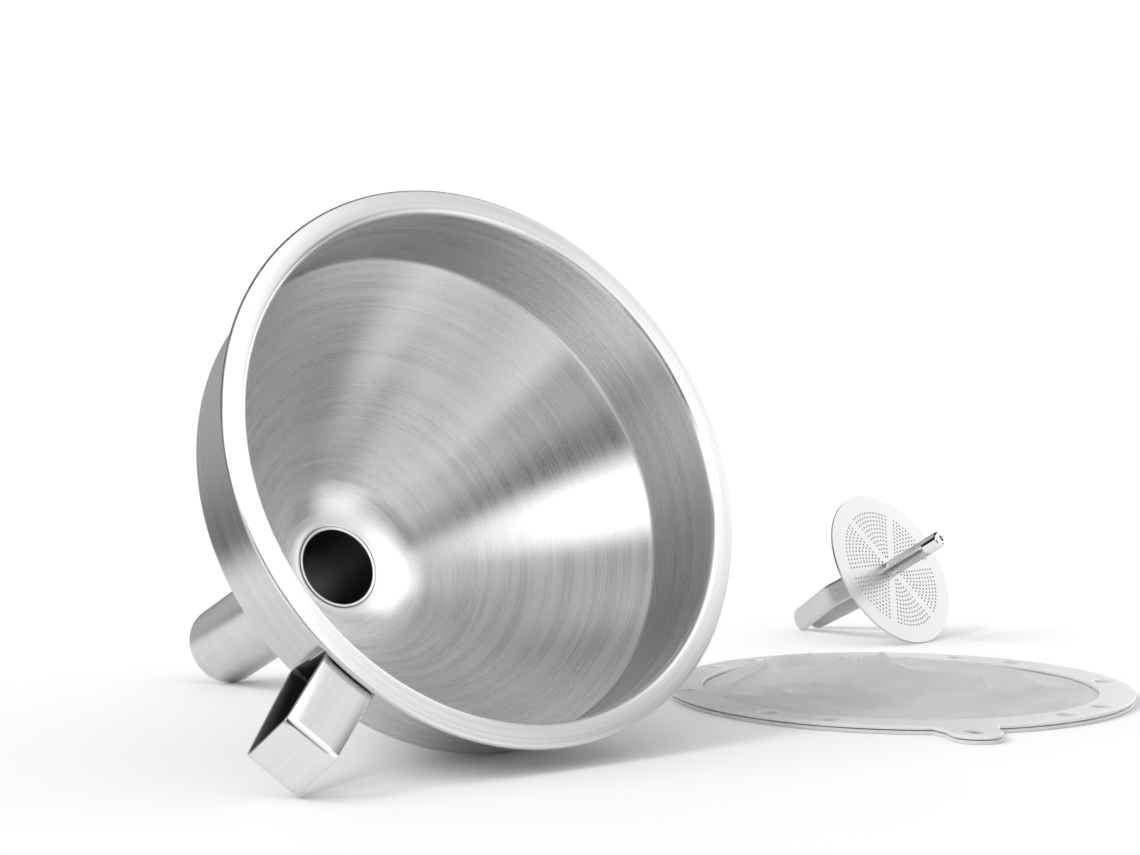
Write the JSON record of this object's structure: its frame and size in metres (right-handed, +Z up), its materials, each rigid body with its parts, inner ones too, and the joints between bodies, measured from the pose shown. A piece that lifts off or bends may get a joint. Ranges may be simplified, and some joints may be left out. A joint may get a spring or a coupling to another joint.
{
  "type": "funnel with two sieves",
  "caption": "Wide steel funnel on its side with a carrying loop, beside a perforated disc sieve on spring legs and a fine cloth sieve held in a flat ring.",
  "frame": {"origin": "middle of the base of the bounding box, on the table that the funnel and the two sieves lie on", "axes": "+Z up from the table, +X the way the funnel's mouth faces, +Y from the funnel towards the sieves"},
  "size_m": [0.1878, 0.2888, 0.1234],
  "materials": {
    "spun_steel": "brushed",
    "tube_steel": "brushed",
    "weld_steel": "satin",
    "strip_steel": "polished",
    "disc_steel": "satin",
    "polished_steel": "polished",
    "leg_steel": "satin",
    "milky_plastic": "milky, slightly see-through",
    "mesh_cloth": "fine translucent mesh"
  },
  "bodies": {
    "funnel": {"funnel_body": "spun_steel", "spout_tube": "tube_steel", "spout_weld": "weld_steel", "carry_loop": "strip_steel", "loop_spot_welds": "weld_steel"},
    "strainer": {"strainer_disc": "disc_steel", "strainer_post": "polished_steel", "post_screw": "polished_steel", "post_washer": "polished_steel", "leg_bridge": "leg_steel"},
    "leg_a": {"spring_leg_a": "leg_steel"},
    "leg_b": {"spring_leg_b": "leg_steel"},
    "filter": {"filter_ring_lower": "milky_plastic", "filter_ring_upper": "milky_plastic", "filter_cloth": "mesh_cloth"}
  },
  "joints": [
    {"name": "strainer_lift", "type": "slide", "parent": "funnel", "child": "strainer", "axis": [0, 0, 1], "range_m": [0, 0.08]},
    {"name": "filter_lift", "type": "slide", "parent": "funnel", "child": "filter", "axis": [0, 0, 1], "range_m": [0, 0.08]},
    {"name": "leg_a_flex", "type": "hinge", "parent": "strainer", "child": "leg_a", "pos_m": [-0.04315, 0.12523, 0.01999], "axis": [-0.4913, -0.069, 0.8683], "range_deg": [0, 4], "stiffness_Nm_per_rad": 1.2},
    {"name": "leg_b_flex", "type": "hinge", "parent": "strainer", "child": "leg_b", "pos_m": [-0.04176, 0.11532, 0.01999], "axis": [0.4913, 0.069, -0.8683], "range_deg": [0, 4], "stiffness_Nm_per_rad": 1.2}
  ]
}
